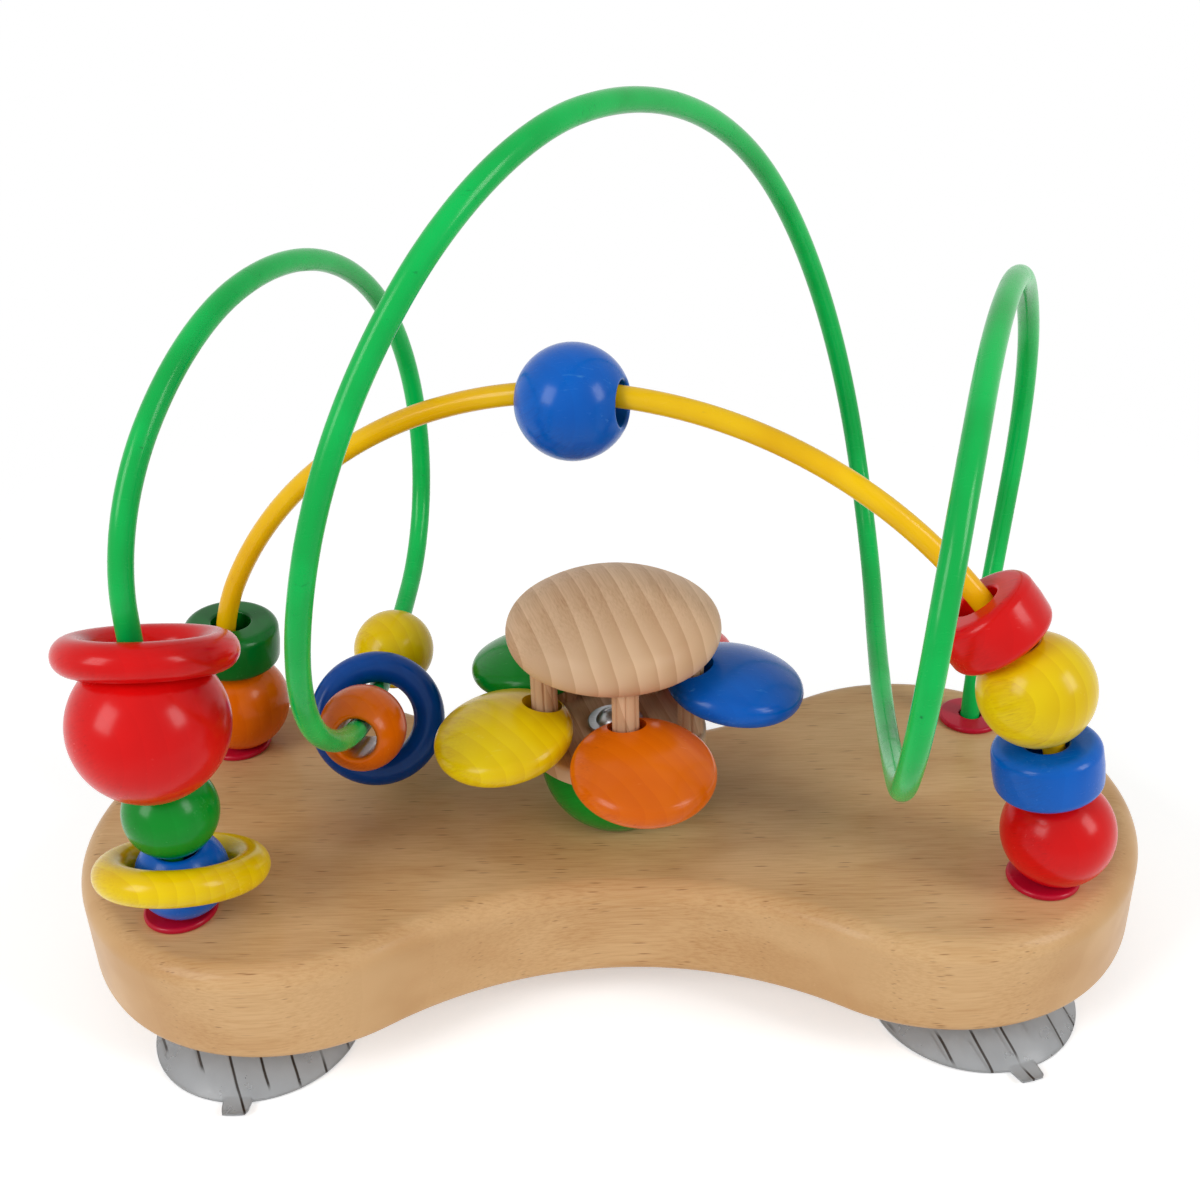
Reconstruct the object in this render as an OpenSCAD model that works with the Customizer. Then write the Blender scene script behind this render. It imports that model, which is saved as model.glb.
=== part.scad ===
// Wooden bead maze: a waisted board on four suction cups carries two bent wires with
// threaded beads and, in the middle, a spinner with five petals on pegs.
// Millimetres, +Z up, +X along the board, the viewer at -Y, z = 0 on the table.

/* [Board] */
// Length of the wooden board
board_l = 250; // [240:1:270]
// Thickness of the wooden board
board_t = 24; // [22:0.5:30]
// Radius of the two rounded ends
end_r = 58.5; // [56:0.5:62]
// Radius of the four corner curves
corner_r = 46; // [42:0.5:48]
// Direction in degrees at which an end passes into a corner curve
corner_turn = 42; // [38:1:46]
// Width across the waist
waist_w = 62; // [56:1:70]
// Rounding of the upper edge
upper_round = 5; // [3:0.5:7]
// Rounding of the lower edge
lower_round = 2.5; // [1:0.5:4]
// Distance of the wire holes from the middle, along the board
hole_x = 95; // [94:0.5:96]
// Distance of the wire holes from the middle, across the board
hole_y = 32.5; // [32:0.5:34]

/* [Wires] */
// Diameter of both painted wires
wire_d = 4.8; // [4:0.1:5.4]
// Crown of the green coil above the board
coil_top = 163; // [158:1:175]
// Crown of the yellow arch above the board
arch_top = 104.6; // [102:0.2:107]
// Radius of the yellow arch
arch_r = 106; // [105:0.5:108]
// Radius of the bends between the arch and its legs
bend_r = 60; // [57:1:63]

/* [Beads] */
// Diameter of the small balls
small_d = 20; // [18:0.5:20.5]
// Diameter of the medium balls
medium_d = 24.6; // [23:0.2:25]
// Diameter of the large ball
large_d = 32; // [29:0.5:33]
// Diameter of the bores
bore_d = 9.4; // [8.6:0.1:10]
// Diameter of the barrels
barrel_d = 23; // [21:0.5:24]
// Height of the barrels
barrel_h = 11.6; // [11:0.1:12.4]
// Rounding of the barrels' edges
barrel_round = 2.5; // [1:0.5:4]
// Thickness of the yellow and the red ring
ring_tube = 7.8; // [7:0.1:8.2]
// Outer diameter of the blue ring
hoop_d = 32; // [30:0.5:34]
// Thickness of the blue ring
hoop_tube = 7.4; // [6.6:0.1:7.8]

/* [Washers] */
// Diameter of a washer's flange
washer_d = 16; // [14:0.5:18]
// Thickness of a washer's flange
washer_h = 1.6; // [1.2:0.1:2.4]
// Diameter of a washer's neck in the board
neck_d = 7.4; // [7:0.1:8.4]

/* [Spinner] */
// Place of the spinner along the board
spinner_x = 2; // [0:0.5:3]
// Diameter of the ball that is cut flat for the foot
foot_d = 35.6; // [33:0.2:37]
// Height of the foot
foot_h = 18.8; // [17:0.2:20]
// Diameter of the disc that holds the pegs
disc_d = 42; // [41:0.5:43]
// Thickness of the disc
disc_h = 4.5; // [4:0.1:5]
// Diameter of the cap
cap_d = 48.4; // [46:0.2:51]
// Height of the cap
cap_h = 23.6; // [20:0.2:26]
// Diameter of a peg
peg_d = 6; // [5:0.1:7]
// Diameter of a petal
petal_d = 31.6; // [29:0.2:31.8]
// Thickness of a petal in its middle
petal_h = 14; // [11:0.5:14.5]
// Diameter of the hole in a petal
petal_hole = 8.6; // [8:0.1:9.4]

/* [Suction cups] */
// Diameter of a suction cup at its lip
cup_d = 47; // [42:1:50]
// Height of a suction cup under the board
cup_h = 11; // [10:0.5:14]
// Diameter of the stud that holds a cup in the board
stud_d = 8; // [6:0.5:10]

/* [Hidden] */
$fn = 64;
clear = 0.3;
fit = 0.05;
deck = cup_h + board_t;

// Board outline: an end arc, two corner arcs and a waist arc, tangent where they meet
end_c = board_l / 2 - end_r;
corner_c = [end_c, 0] + (end_r - corner_r) * [cos(corner_turn), sin(corner_turn)];
sag = corner_c[1] - waist_w / 2;
waist_r = (corner_c[0] * corner_c[0] + sag * sag - corner_r * corner_r) / (2 * (corner_r + sag));
waist_c = [0, waist_w / 2 + waist_r];
waist_turn = atan2(waist_c[1] - corner_c[1], -corner_c[0]);
edge_steps = 5;
cups = [[82.5, 32], [82.5, -32], [-82.5, 32], [-82.5, -32]];

// Depth of the wires and of the washers' necks in the board
stub = 16;
neck_h = 5;
kick = 3;
wire_sides = 12;
wire_step = 8;

// The green coil, from the front left hole to the back right hole: points and headings above the board
leg_foot = [-hole_x, -hole_y, kick];
leg_top = [-91, -40, 78];
leg_dir = unit(leg_top - leg_foot);
green_way = [
    [[-hole_x, -hole_y, -stub], [0, 0, 1]],
    [leg_foot, [0, 0, 1]],
    [leg_foot + 4 * leg_dir, leg_dir],
    [leg_top, leg_dir],
    [[-70, 2, 129], dir(70, 6)],
    [[-47, 78, 60], dir(-118, -86)],
    [[-55, 16, 25], dir(-94, 2)],
    [[-53, -55, 94], dir(10, 76)],
    [[-2, -14, coil_top], dir(56, 2)],
    [[68, 68, 62], dir(-54, -74)],
    [[63, -8, 28], dir(-98, 8)],
    [[54, -77, 87], dir(58, 74)],
    [[81, -8, 127], dir(68, -2)],
    [[103, 47, 61], dir(-130, -80)],
    [[hole_x, hole_y, kick], [0, 0, -1]],
    [[hole_x, hole_y, -stub], [0, 0, -1]]
];
green = route(green_way);

// The yellow arch in the upright plane through the other two holes
half_span = norm([hole_x, hole_y]);
across = [hole_x, -hole_y, 0] / half_span;
steepest = 0.9;
bend_a = acos(min(steepest, (half_span - bend_r) / abs(arch_r - bend_r)));
meet_s = arch_r * cos(bend_a);
meet_z = arch_top - arch_r * (1 - sin(bend_a));
leg_z = meet_z - bend_r * sin(bend_a);
yellow_way = [
    [[-hole_x, hole_y, -stub], [0, 0, 1]],
    [[-hole_x, hole_y, leg_z], [0, 0, 1]],
    [-meet_s * across + [0, 0, meet_z], sin(bend_a) * across + [0, 0, cos(bend_a)]],
    [[0, 0, arch_top], across],
    [meet_s * across + [0, 0, meet_z], sin(bend_a) * across - [0, 0, cos(bend_a)]],
    [[hole_x, -hole_y, leg_z], [0, 0, -1]],
    [[hole_x, -hole_y, -stub], [0, 0, -1]]
];
yellow = route(yellow_way);
yellow_l = total(yellow);

// Stacked beads: distances along the wires, from the board up, a little wider where the wire bends
bead_slack = (bore_d - wire_d) / 2 - clear;
bend_room = 1.135 * bore_d;
fl_blue_s = washer_h + clear + 0.6 + rest(small_d);
fl_green_s = fl_blue_s + 2 * rest(small_d) + clear;
fl_red_s = fl_green_s + rest(small_d) + rest(large_d) + clear;
bl_orange_s = washer_h + clear + rest(medium_d);
bl_green_s = bl_orange_s + rest(medium_d) + barrel_h / 2 + 1.1;
fr_red_s = bl_orange_s;
fr_blue_s = fr_red_s + rest(medium_d) + barrel_h / 2 + 0.6;
fr_yellow_least = fr_blue_s + barrel_h / 2 + rest(medium_d);
fr_yellow_s = fr_yellow_least + clear + bend_room * pow(turn_between(fr_blue_s, fr_yellow_least), 2);
fr_barrel_s = fr_yellow_s + rest(medium_d) + barrel_h / 2 + 0.85;

// Hanging beads: distances along the wires
top_blue_s = yellow_l / 2 - stub - 5.6;
trough_yellow_s = 334.5;
trough_ring_s = 358;
trough_orange_s = 372.5;
sag_gap = 0.6;

// Rings that lie on balls, tipped back from the wire, and the blue ring that faces the viewer
ring_lean = 22;
yellow_ring_r = small_d / 2 + clear + 0.5 + ring_tube / 2;
yellow_ring_up = 1;
red_ring_r = 14.1;
red_ring_up = sqrt(pow(large_d / 2 + clear + ring_tube / 2, 2) - red_ring_r * red_ring_r);
ring_axis = unit([0.03, sin(ring_lean), cos(ring_lean)]);
hoop_axis = dir(-80, 32);
hoop_r = (hoop_d - hoop_tube) / 2;

// Spinner: heights above the board; the petals hang loosely, and the blue one lies on the red one's rim
disc_z = foot_h + clear;
screw_d = 4;
screw_in = 14;
head_r = 5;
head_h = 3;
plate_d = 13;
plate_h = 1;
petal_gap = 5.1;
cap_gap = 25.8;
peg_in = 4;
foot_over = 4;
peg_r = 17.5;
petal_off = 10.4;
petal_lean = 8;
petal_turn = [204, 276, 348, 60, 132];
petal_swing = [0, 13, 21, 0, 0];
petal_rim = petal_h / 4;
petal_lap = norm(petal_mid(2) - petal_mid(3)) - (petal_d - 2 * petal_rim);
blue_lift = sqrt(max(0, pow(2 * (petal_rim + clear), 2) - petal_lap * petal_lap));
petal_lift = [0, clear, blue_lift, 0, 0];
petal_z = disc_z + disc_h + petal_gap;
cap_z = disc_z + disc_h + cap_gap;
peg_top = cap_z - peg_in;
tab_turn = [-75, -75, 90, -92];

function unit(v) = v / norm(v);
function dir(az, el) = [cos(az) * cos(el), sin(az) * cos(el), sin(el)];
function rest(d) = sqrt(d * d - bore_d * bore_d) / 2;
function petal_mid(i) = peg_r * dir(petal_turn[i], 0)
    + petal_off * cos(petal_lean) * dir(petal_turn[i] + petal_swing[i], 0);

// A route is a list of arcs [start, heading, end]; two tangent arcs join each pair of points
function reach(v, a, b) =
    let (t = a + b, k = 2 * (1 - a * b))
    k < 1e-9 ? v * v / (4 * (v * b)) : (-(v * t) + sqrt(pow(v * t, 2) + k * (v * v))) / k;
function two_arcs(p, a, q, b) =
    let (k = reach(q - p, a, b), m = (p + k * a + q - k * b) / 2)
    [[p, a, m], [m, unit(q - k * b - p - k * a), q]];
function route(w) = [
    for (i = [0:len(w) - 2]) each two_arcs(w[i][0], w[i][1], w[i + 1][0], w[i + 1][1])
];

// Bend of an arc: [direction to its centre, radius, angle], radius 0 for a straight
function bend(s) =
    let (v = s[2] - s[0], n = v - s[1] * (v * s[1]), h = norm(n))
    h < 0.0001 * norm(v) ? [[0, 0, 0], 0, 0] : [n / h, v * v / (2 * h), 2 * atan2(h, v * s[1])];
function span(s) = let (b = bend(s)) b[1] == 0 ? norm(s[2] - s[0]) : b[1] * b[2] * PI / 180;
function total(w, i = 0) = i == len(w) ? 0 : span(w[i]) + total(w, i + 1);

// Point and heading at a share t of an arc, and at a distance d along a route
function on_arc(s, t) =
    let (b = bend(s), a = t * b[2])
    b[1] == 0 ? [s[0] + t * (s[2] - s[0]), s[1]]
    : [s[0] + b[1] * (b[0] * (1 - cos(a)) + s[1] * sin(a)), s[1] * cos(a) + b[0] * sin(a)];
function along(w, d, i = 0) =
    let (l = span(w[i]))
    d <= l || i == len(w) - 1 ? on_arc(w[i], d / l) : along(w, d - l, i + 1);
function stations(w) = concat(
    [for (s = w) let (n = max(1, ceil(bend(s)[2] / wire_step))) for (k = [0:n - 1]) on_arc(s, k / n)],
    [on_arc(w[len(w) - 1], 1)]);

// Place of a bead: the part of the vector v that is square to the wire moves it aside
function square_to(v, t) = v - t * (v * t);
function beside(s, v) = [s[0] + square_to(v, s[1]), s[1]];
function hung(s, give = 0) = [s[0] + (bead_slack - give) * unit(square_to([0, 0, -1], s[1])), s[1]];
function left_blue() = beside(on_green(fl_blue_s), [bead_slack - 0.3, 0, 0]);
function left_red() = beside(on_green(fl_red_s), bead_slack * [0.6, -0.8, 0]);
function half_upright(s) = [s[0], unit(s[1] + [0, 0, 1])];
function on_green(d) = along(green, stub + d);
function on_yellow(d) = along(yellow, stub + d);
function on_right(d) = let (s = along(yellow, yellow_l - stub - d)) [s[0], -s[1]];
function turn_between(a, b) = norm(cross(on_right(a)[1], on_right(b)[1]));

// Side vectors that keep their direction from ring to ring of a tube
function carried(st) = [
    for (i = 0, u = [1, 0, 0]; i < len(st); i = i + 1, u = i < len(st) ? unit(square_to(u, st[i][1])) : u) u
];
function bow(c, r, a, b, n) = [
    for (k = [0:n - 1]) let (t = a + (b - a) * k / n) c + r * [cos(t), sin(t)]
];
function half_edge(inset) = concat(
    bow([end_c, 0], end_r - inset, -corner_turn, corner_turn, 3 * edge_steps),
    bow(corner_c, corner_r - inset, corner_turn, waist_turn, 3 * edge_steps),
    bow(waist_c, waist_r + inset, waist_turn + 180, 360 - waist_turn, 3 * edge_steps),
    bow([-corner_c[0], corner_c[1]], corner_r - inset, 180 - waist_turn, 180 - corner_turn, 3 * edge_steps));
function level(inset, z) = let (h = half_edge(inset)) [for (p = concat(h, -h)) [p[0], p[1], z]];

// A closed skin over rings of equally many points, its ends closed by strips that start beside point mid
function strip(n, mid) = [
    for (j = [0:n / 2 - 2])
        let (a = (mid - j + n) % n, b = mid + 1 + j, c = mid + 2 + j, d = (mid - j - 1 + n) % n)
        each [[a, b, c], [a, c, d]]
];
module skin(rings, mid) {
    n = len(rings[0]);
    m = len(rings);
    foot = strip(n, mid);
    polyhedron(
        points = [for (r = rings) each r],
        faces = concat(
            foot,
            [for (i = [0:m - 2], k = [0:n - 1]) [i * n + k, (i + 1) * n + k, (i + 1) * n + (k + 1) % n]],
            [for (i = [0:m - 2], k = [0:n - 1]) [i * n + k, (i + 1) * n + (k + 1) % n, i * n + (k + 1) % n]],
            [for (t = foot) [for (k = [2, 1, 0]) (m - 1) * n + t[k]]]));
}

module tube(w) {
    st = stations(w);
    us = carried(st);
    translate([0, 0, deck])
        skin([for (i = [0:len(st) - 1])
            [for (k = [0:wire_sides - 1])
                let (a = 360 * k / wire_sides)
                st[i][0] + wire_d / 2 * (us[i] * cos(a) + cross(st[i][1], us[i]) * sin(a))]], 0);
}

module put(s) {
    z = s[1];
    x = unit(square_to([1, 0, 0], z));
    y = cross(z, x);
    p = s[0] + [0, 0, deck];
    multmatrix([[x[0], y[0], z[0], p[0]], [x[1], y[1], z[1], p[1]], [x[2], y[2], z[2], p[2]]])
        children();
}

module ball(d) {
    difference() {
        sphere(d = d);
        cylinder(d = bore_d, h = d + 2, center = true);
    }
}

module slab(r, h, q) {
    square([r - q, h]);
    translate([0, q])
        square([r, h - 2 * q]);
    for (z = [q, h - q])
        translate([r - q, z])
            circle(q);
}

module barrel() {
    difference() {
        rotate_extrude()
            translate([0, -barrel_h / 2])
                slab(barrel_d / 2, barrel_h, barrel_round);
        cylinder(d = bore_d, h = barrel_h + 2, center = true);
    }
}

module ring(r, tube_d) {
    rotate_extrude()
        translate([r, 0])
            circle(d = tube_d);
}

// Half the section of a lens with a round rim: two flat arcs that run tangent into the rim
module lens(d, h, q) {
    a = d / 2 - q;
    b = h / 2;
    r = (a * a + b * b - q * q) / (2 * (b - q));
    rotate_extrude() {
        translate([a, 0])
            circle(q);
        intersection() {
            translate([0, b - r])
                circle(r, $fn = 128);
            translate([0, r - b])
                circle(r, $fn = 128);
            translate([0, -h])
                square([a * r / (r - q), 2 * h]);
        }
    }
}

module washer(x, y) {
    translate([x, y, deck])
        difference() {
            union() {
                rotate_extrude()
                    slab(washer_d / 2, washer_h, washer_h * 0.45);
                translate([0, 0, -neck_h])
                    cylinder(d = neck_d, h = neck_h + washer_h / 2);
            }
            translate([0, 0, -neck_h - 1])
                cylinder(d = wire_d + 0.8, h = neck_h + washer_h + 2);
        }
}

module cup(i) {
    out_h = cup_h - 2;
    in_h = cup_h * 0.45;
    out_r = (pow(cup_d / 2, 2) + pow(out_h - 0.8, 2)) / (2 * (out_h - 0.8));
    in_a = cup_d / 2 - 1.4;
    in_r = (in_a * in_a + in_h * in_h) / (2 * in_h);
    translate([cups[i][0], cups[i][1], 0])
        difference() {
            union() {
                rotate_extrude() {
                    intersection() {
                        translate([0, out_h - out_r])
                            circle(out_r, $fn = 128);
                        translate([0, 0.8])
                            square([cup_d / 2, cup_h]);
                    }
                    square([cup_d / 2, 0.8]);
                    square([stud_d / 2 + 3, cup_h]);
                    square([stud_d / 2, cup_h + 9]);
                }
                rotate([0, 0, tab_turn[i]])
                    translate([cup_d / 2 - 2, -2.6, 0])
                        cube([6, 5.2, 1.4]);
            }
            rotate_extrude()
                intersection() {
                    translate([0, in_h - in_r])
                        circle(in_r, $fn = 128);
                    translate([0, -1])
                        square([in_a, in_h + 2]);
                }
        }
}

module peg(i) {
    translate([spinner_x, 0, deck])
        rotate([0, 0, petal_turn[i]])
            translate([peg_r, 0, disc_z])
                difference() {
                    cylinder(d = peg_d, h = peg_top - disc_z);
                    for (k = [0:7])
                        rotate([0, 0, 45 * k])
                            translate([peg_d / 2 + 0.1, 0, disc_h])
                                cylinder(d = 1, h = peg_top, $fn = 16);
                }
}

module petal(i) {
    translate([spinner_x, 0, deck])
        rotate([0, 0, petal_turn[i]])
            translate([peg_r, 0, petal_z + petal_lift[i] + petal_off * sin(petal_lean)])
                rotate([0, 0, petal_swing[i]])
                    difference() {
                        rotate([0, petal_lean, 0])
                            translate([petal_off, 0, 0])
                                lens(petal_d, petal_h, petal_rim);
                        cylinder(d = petal_hole, h = 3 * petal_h, center = true);
                    }
}

module peg_holes() {
    for (t = petal_turn)
        rotate([0, 0, t])
            translate([peg_r, 0, 0])
                cylinder(d = peg_d + 2 * fit, h = peg_top);
}

module base_board() {
    color("burlywood")
        difference() {
            skin(concat(
                [for (a = [0:30:90]) level(lower_round * (1 - sin(a)), cup_h + lower_round * (1 - cos(a)))],
                [for (a = [0:18:90]) level(upper_round * (1 - cos(a)), deck - upper_round * (1 - sin(a)))]),
                (3 * edge_steps - 1) / 2);
            for (x = [-hole_x, hole_x], y = [-hole_y, hole_y])
                translate([x, y, deck]) {
                    translate([0, 0, -stub - 0.5])
                        cylinder(d = wire_d + 2 * fit, h = stub + 1);
                    translate([0, 0, -neck_h - clear])
                        cylinder(d = neck_d + 2 * fit, h = neck_h + 1);
                }
            for (c = cups)
                translate([c[0], c[1], cup_h - 1])
                    cylinder(d = stud_d + 2 * fit, h = 10 + clear);
            translate([spinner_x, 0, deck - screw_in])
                cylinder(d = screw_d + 2 * fit, h = screw_in + 1);
        }
}

module green_wire() {
    color("seagreen")
        tube(green);
}

module yellow_wire() {
    color("gold")
        tube(yellow);
}

module washer_front_left() {
    color("crimson")
        washer(-hole_x, -hole_y);
}

module washer_front_right() {
    color("crimson")
        washer(hole_x, -hole_y);
}

module washer_back_left() {
    color("crimson")
        washer(-hole_x, hole_y);
}

module washer_back_right() {
    color("crimson")
        washer(hole_x, hole_y);
}

module left_blue_ball() {
    color("royalblue")
        put(left_blue())
            ball(small_d);
}

module left_green_ball() {
    color("green")
        put(beside(on_green(fl_green_s), [bead_slack - 0.3, 0, 0]))
            ball(small_d);
}

module left_red_ball() {
    color("red")
        put(left_red())
            ball(large_d);
}

module left_yellow_ring() {
    color("yellow")
        put([left_blue()[0] + yellow_ring_up * ring_axis, ring_axis])
            ring(yellow_ring_r, ring_tube);
}

module left_red_ring() {
    color("red")
        put([left_red()[0] + red_ring_up * ring_axis, ring_axis])
            ring(red_ring_r, ring_tube);
}

module trough_yellow_ball() {
    color("yellow")
        put(hung(on_green(trough_yellow_s), sag_gap))
            ball(small_d);
}

module trough_blue_ring() {
    s = on_green(trough_ring_s);
    up = unit(square_to([0, 0, 1], hoop_axis));
    drop = hoop_r - 0.2 - (hoop_tube / 2 + wire_d / 2 + clear) / norm(square_to(up, s[1]));
    color("midnightblue")
        put([s[0] - drop * up, hoop_axis])
            ring(hoop_r, hoop_tube);
}

module trough_orange_ball() {
    color("orange")
        put(hung(on_green(trough_orange_s), sag_gap))
            ball(small_d);
}

module back_orange_ball() {
    color("orange")
        put(beside(on_yellow(bl_orange_s), [bead_slack, 0, 0]))
            ball(medium_d);
}

module back_green_barrel() {
    color("darkgreen")
        put(half_upright(beside(on_yellow(bl_green_s), [bead_slack - 0.3, 0, 0])))
            barrel();
}

module top_blue_ball() {
    color("royalblue")
        put(hung(on_yellow(top_blue_s)))
            ball(medium_d);
}

module right_red_ball() {
    color("red")
        put(beside(on_right(fr_red_s), [bead_slack - 0.2, 0, 0]))
            ball(medium_d);
}

module right_blue_barrel() {
    color("royalblue")
        put(beside(on_right(fr_blue_s), [0.3 - bead_slack, 0, 0]))
            barrel();
}

module right_yellow_ball() {
    color("yellow")
        put(on_right(fr_yellow_s))
            ball(medium_d);
}

module right_red_barrel() {
    color("red")
        put(beside(on_right(fr_barrel_s), [-0.7, 0, -0.8]))
            barrel();
}

module spinner_foot() {
    color("green")
        translate([spinner_x, 0, deck])
            difference() {
                intersection() {
                    translate([0, 0, foot_h - foot_over])
                        sphere(d = foot_d);
                    cylinder(d = foot_d + 2, h = foot_h);
                }
                translate([0, 0, -1])
                    cylinder(d = screw_d + 2 * fit, h = foot_h + 2);
            }
}

module spinner_disc() {
    color("burlywood")
        translate([spinner_x, 0, deck + disc_z])
            difference() {
                rotate_extrude()
                    slab(disc_d / 2, disc_h, 1.2);
                translate([0, 0, -1])
                    cylinder(d = screw_d + 4 * fit, h = disc_h + 2);
                translate([0, 0, -1])
                    peg_holes();
            }
}

module spinner_cap() {
    color("wheat")
        translate([spinner_x, 0, deck])
            difference() {
                translate([0, 0, cap_z])
                    lens(cap_d, cap_h, cap_h / 4);
                translate([0, 0, clear])
                    peg_holes();
            }
}

module spindle_washer() {
    color("silver")
        translate([spinner_x, 0, deck + disc_z + disc_h + clear])
            difference() {
                cylinder(d = plate_d, h = plate_h);
                translate([0, 0, -1])
                    cylinder(d = screw_d + 2 * fit, h = plate_h + 2);
            }
}

module spindle_screw() {
    color("silver")
        translate([spinner_x, 0, deck + disc_z + disc_h + clear + plate_h])
            rotate_extrude() {
                intersection() {
                    translate([0, head_h - head_r])
                        circle(head_r);
                    square([head_r, head_h]);
                }
                translate([0, -disc_h - clear - disc_z - screw_in])
                    square([screw_d / 2, disc_h + clear + disc_z + screw_in + head_h / 3]);
            }
}

module peg_yellow() {
    color("burlywood")
        peg(0);
}

module peg_orange() {
    color("burlywood")
        peg(1);
}

module peg_blue() {
    color("burlywood")
        peg(2);
}

module peg_red() {
    color("burlywood")
        peg(3);
}

module peg_green() {
    color("burlywood")
        peg(4);
}

module petal_yellow() {
    color("yellow")
        petal(0);
}

module petal_orange() {
    color("orange")
        petal(1);
}

module petal_blue() {
    color("royalblue")
        petal(2);
}

module petal_red() {
    color("red")
        petal(3);
}

module petal_green() {
    color("green")
        petal(4);
}

module cup_back_right() {
    color("lightgray")
        cup(0);
}

module cup_front_right() {
    color("lightgray")
        cup(1);
}

module cup_back_left() {
    color("lightgray")
        cup(2);
}

module cup_front_left() {
    color("lightgray")
        cup(3);
}

base_board();
green_wire();
yellow_wire();
washer_front_left();
washer_front_right();
washer_back_left();
washer_back_right();
left_blue_ball();
left_yellow_ring();
left_green_ball();
left_red_ball();
left_red_ring();
trough_yellow_ball();
trough_blue_ring();
trough_orange_ball();
back_orange_ball();
back_green_barrel();
top_blue_ball();
right_red_ball();
right_blue_barrel();
right_yellow_ball();
right_red_barrel();
spinner_foot();
spinner_disc();
spinner_cap();
spindle_washer();
spindle_screw();
peg_yellow();
peg_orange();
peg_blue();
peg_red();
peg_green();
petal_yellow();
petal_orange();
petal_blue();
petal_red();
petal_green();
cup_back_right();
cup_front_right();
cup_back_left();
cup_front_left();
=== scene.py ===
# %% [markdown]
# # A wooden bead maze
# A waisted beech board stands on four suction cups and carries two bent wires. Turned and
# stained wooden beads ride on the wires, and five petals turn round a post in the middle.
# The CAD model gives every place and every joint. This lesson dresses it: each piece is a
# surface worked out from a formula, in millimetres, and each finish is a small node network.

import bmesh
import bpy
import numpy as np
from mathutils import Matrix


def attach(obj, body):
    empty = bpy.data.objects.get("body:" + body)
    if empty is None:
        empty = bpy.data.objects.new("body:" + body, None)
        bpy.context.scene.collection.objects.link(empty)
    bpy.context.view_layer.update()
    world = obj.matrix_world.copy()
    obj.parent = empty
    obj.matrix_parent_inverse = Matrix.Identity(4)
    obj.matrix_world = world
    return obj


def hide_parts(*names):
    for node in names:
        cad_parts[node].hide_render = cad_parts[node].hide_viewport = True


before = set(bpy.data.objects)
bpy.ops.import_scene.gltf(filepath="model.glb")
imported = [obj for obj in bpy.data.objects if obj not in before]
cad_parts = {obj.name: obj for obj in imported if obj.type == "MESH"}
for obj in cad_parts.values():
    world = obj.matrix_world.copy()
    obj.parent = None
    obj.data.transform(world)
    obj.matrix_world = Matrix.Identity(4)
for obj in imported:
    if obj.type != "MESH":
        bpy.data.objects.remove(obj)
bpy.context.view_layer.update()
MM = 0.001
scene = bpy.context.scene
scene.view_settings.view_transform = "Standard"

# %% [markdown]
# ## The camera
# The photograph was taken from close by, so the perspective is strong. The camera could be
# aimed by eye, but its place, turn and focal length were worked out from the washers and
# the board, and are written here as angles, metres and pixels of a 1200 by 1200 picture.

# %% Camera
EYE = (-0.00305, -0.28003, 0.24279)
AZIMUTH, ELEVATION, ROLL = np.radians([-0.885, 28.5345, -1.5715])
PICTURE_PX, FOCAL_PX, CENTRE_PX = 1200, 1435.2, (609.44, 603.39)
SENSOR_MM = 36


def aim(azimuth, elevation, roll):
    """Columns are the camera's right, up and back: back points up at the elevation and away
    from the subject at the azimuth, and right and up are turned about it by the roll."""
    right = np.array([np.cos(azimuth), np.sin(azimuth), 0])
    level = np.cos(elevation)
    back = np.array([np.sin(azimuth) * level, -np.cos(azimuth) * level, np.sin(elevation)])
    up = np.cross(back, right)
    side = np.cos(roll) * right + np.sin(roll) * up
    over = np.cos(roll) * up - np.sin(roll) * right
    return np.column_stack([side, over, back])


lens = bpy.data.cameras.new("photo_camera")
lens.sensor_width = SENSOR_MM
lens.lens = SENSOR_MM * FOCAL_PX / PICTURE_PX
lens.shift_x = (PICTURE_PX / 2 - CENTRE_PX[0]) / PICTURE_PX
lens.shift_y = (CENTRE_PX[1] - PICTURE_PX / 2) / PICTURE_PX
lens.clip_start = 0.01
camera = bpy.data.objects.new("photo_camera", lens)
camera.matrix_world = Matrix.Translation(EYE) @ Matrix(aim(AZIMUTH, ELEVATION, ROLL)).to_4x4()
scene.collection.objects.link(camera)
scene.camera = camera
print("lens", round(lens.lens, 2), "mm")

# %% [markdown]
# ## Light and floor
# The toy was photographed in soft daylight from two sides, and every glossy ball shows two
# pale windows. Two large lamps stand for these windows, and an even sky fills the shadows.
# The floor fades into the white sky, so that no horizon shows. What looks at it directly or
# in a reflection sees it a little lifted towards white, and the toy's shadow stays on it.

# %% Node helper
def node(tree, kind, sockets=None, **properties):
    """Adds a node, sets its properties, and gives each named or numbered socket a value or
    a link from another node's output."""
    made = tree.nodes.new("ShaderNode" + kind)
    for name, value in properties.items():
        setattr(made, name, value)
    for key, value in (sockets or {}).items():
        if isinstance(value, bpy.types.NodeSocket):
            tree.links.new(value, made.inputs[key])
        else:
            made.inputs[key].default_value = value
    return made


def maths(tree, operation, *values):
    """The result of a Math node on values or sockets."""
    return node(tree, "Math", dict(enumerate(values)), operation=operation).outputs[0]


def watched(tree):
    """1 for a ray from the camera, or one that a mirror or glass sends on, and 0 for light."""
    ray = node(tree, "LightPath").outputs
    seen = maths(tree, "MAXIMUM", ray["Is Camera Ray"], ray["Is Transmission Ray"])
    return maths(tree, "MAXIMUM", seen, ray["Is Glossy Ray"])


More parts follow.
